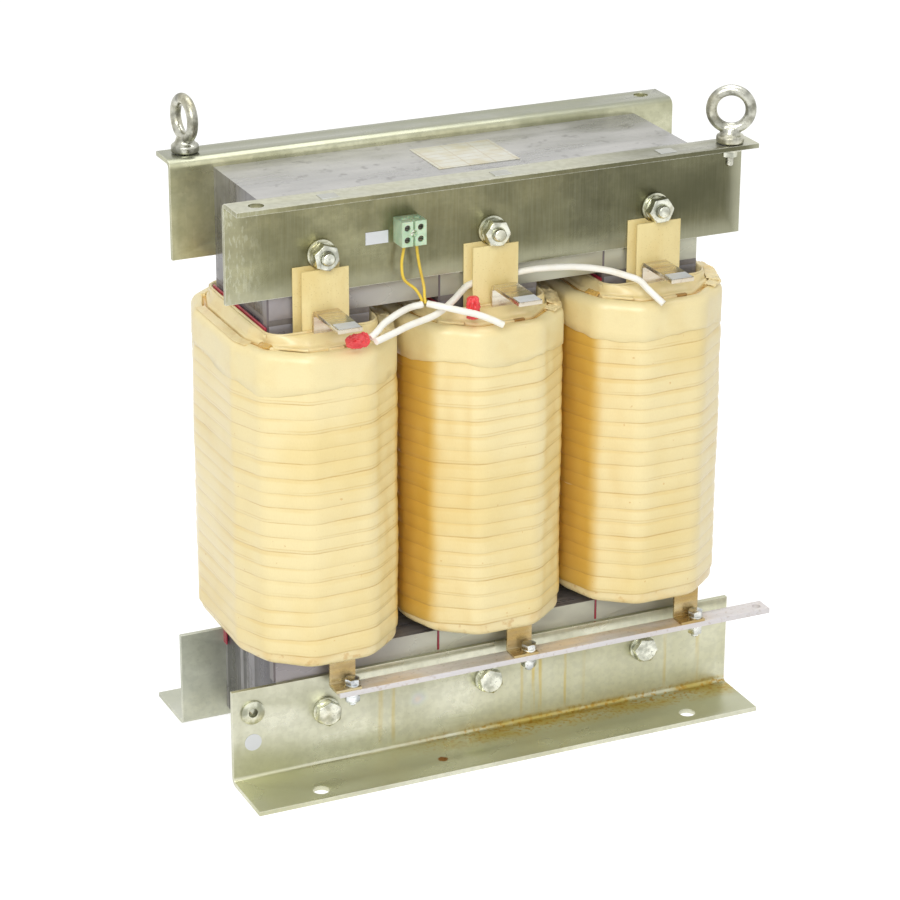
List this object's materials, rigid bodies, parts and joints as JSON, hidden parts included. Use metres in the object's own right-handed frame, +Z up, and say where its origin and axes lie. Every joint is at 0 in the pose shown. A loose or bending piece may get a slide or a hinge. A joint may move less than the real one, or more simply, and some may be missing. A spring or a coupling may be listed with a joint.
{
  "type": "shunt reactor",
  "caption": "Three-phase iron-core shunt reactor: taped coils on a gapped laminated core, clamped between folded steel angles with lifting eyes and foot flanges.",
  "frame": {"origin": "centre of the four foot holes, on the plane the foot flanges stand on", "axes": "X along the core, from the first coil to the third; -Y towards the terminal side; +Z up"},
  "size_m": [0.4265, 0.2145, 0.4815],
  "materials": {
    "laminations": "mottled clear lacquer over purplish grey iron",
    "board": "tan pressed board",
    "red_board": "dark red insulation",
    "zinc_sheet": "zinc plate with a yellow-green passivation tint",
    "bolt_steel": "bright zinc plate",
    "coil_resin": "resin-soaked cream and amber wrap",
    "coil_tape": "resin-soaked woven tape",
    "tinned_bar": "tinned copper",
    "mint_plastic": "mint green moulding",
    "tube_brass": "plated brass",
    "wire_yellow": "yellow insulation",
    "sleeve_white": "off-white varnished sleeving",
    "cap_red": "bright red moulded cap",
    "switch_case": "dark moulded case",
    "plate_silver": "satin plate",
    "tag_white": "white label stock"
  },
  "bodies": {
    "frame": {"lower_yoke": "laminations", "upper_yoke": "laminations", "left_leg": "laminations", "middle_leg": "laminations", "right_leg": "laminations", "gap_spacers": "board", "joint_strips": "red_board", "lower_front_angle": "zinc_sheet", "lower_rear_angle": "zinc_sheet", "upper_front_angle": "zinc_sheet", "upper_rear_angle": "zinc_sheet", "upper_tie_bolts": "bolt_steel", "lower_tie_bolts": "bolt_steel", "tie_nuts": "bolt_steel", "spring_washers": "bolt_steel", "flat_washers": "bolt_steel", "tie_sleeves": "board", "left_former": "coil_resin", "middle_former": "coil_resin", "right_former": "coil_resin", "left_inner_winding": "coil_resin", "middle_inner_winding": "coil_resin", "right_inner_winding": "coil_resin", "left_outer_winding": "coil_resin", "middle_outer_winding": "coil_resin", "right_outer_winding": "coil_resin", "left_tape": "coil_tape", "middle_tape": "coil_tape", "right_tape": "coil_tape", "duct_spacers": "board", "rear_barriers": "board", "front_barriers": "board", "left_terminal": "tinned_bar", "middle_terminal": "tinned_bar", "right_terminal": "tinned_bar", "left_star_lead": "tinned_bar", "middle_star_lead": "tinned_bar", "right_star_lead": "tinned_bar", "star_bar": "tinned_bar", "star_bolts": "bolt_steel", "star_washers": "bolt_steel", "star_nuts": "bolt_steel", "earth_insert": "bolt_steel", "terminal_block": "mint_plastic", "block_tubes": "tube_brass", "block_screws": "bolt_steel", "block_fixing_screw": "bolt_steel", "sensor_wires": "wire_yellow", "sensor_sleeves": "sleeve_white", "sensor_caps": "cap_red", "thermal_switches": "switch_case", "rating_plate": "plate_silver", "flange_tags": "tag_white", "terminal_tags": "tag_white"},
    "left_eye": {"left_lifting_eye": "bolt_steel", "left_eye_nut": "bolt_steel"},
    "right_eye": {"right_lifting_eye": "bolt_steel", "right_eye_nut": "bolt_steel"}
  },
  "joints": [
    {"name": "left_eye_turn", "type": "hinge", "parent": "frame", "child": "left_eye", "pos_m": [-0.181, 0.068, 0.439], "axis": [0, 0, 1], "continuous": true},
    {"name": "right_eye_turn", "type": "hinge", "parent": "frame", "child": "right_eye", "pos_m": [0.181, -0.068, 0.439], "axis": [0, 0, 1], "continuous": true}
  ]
}
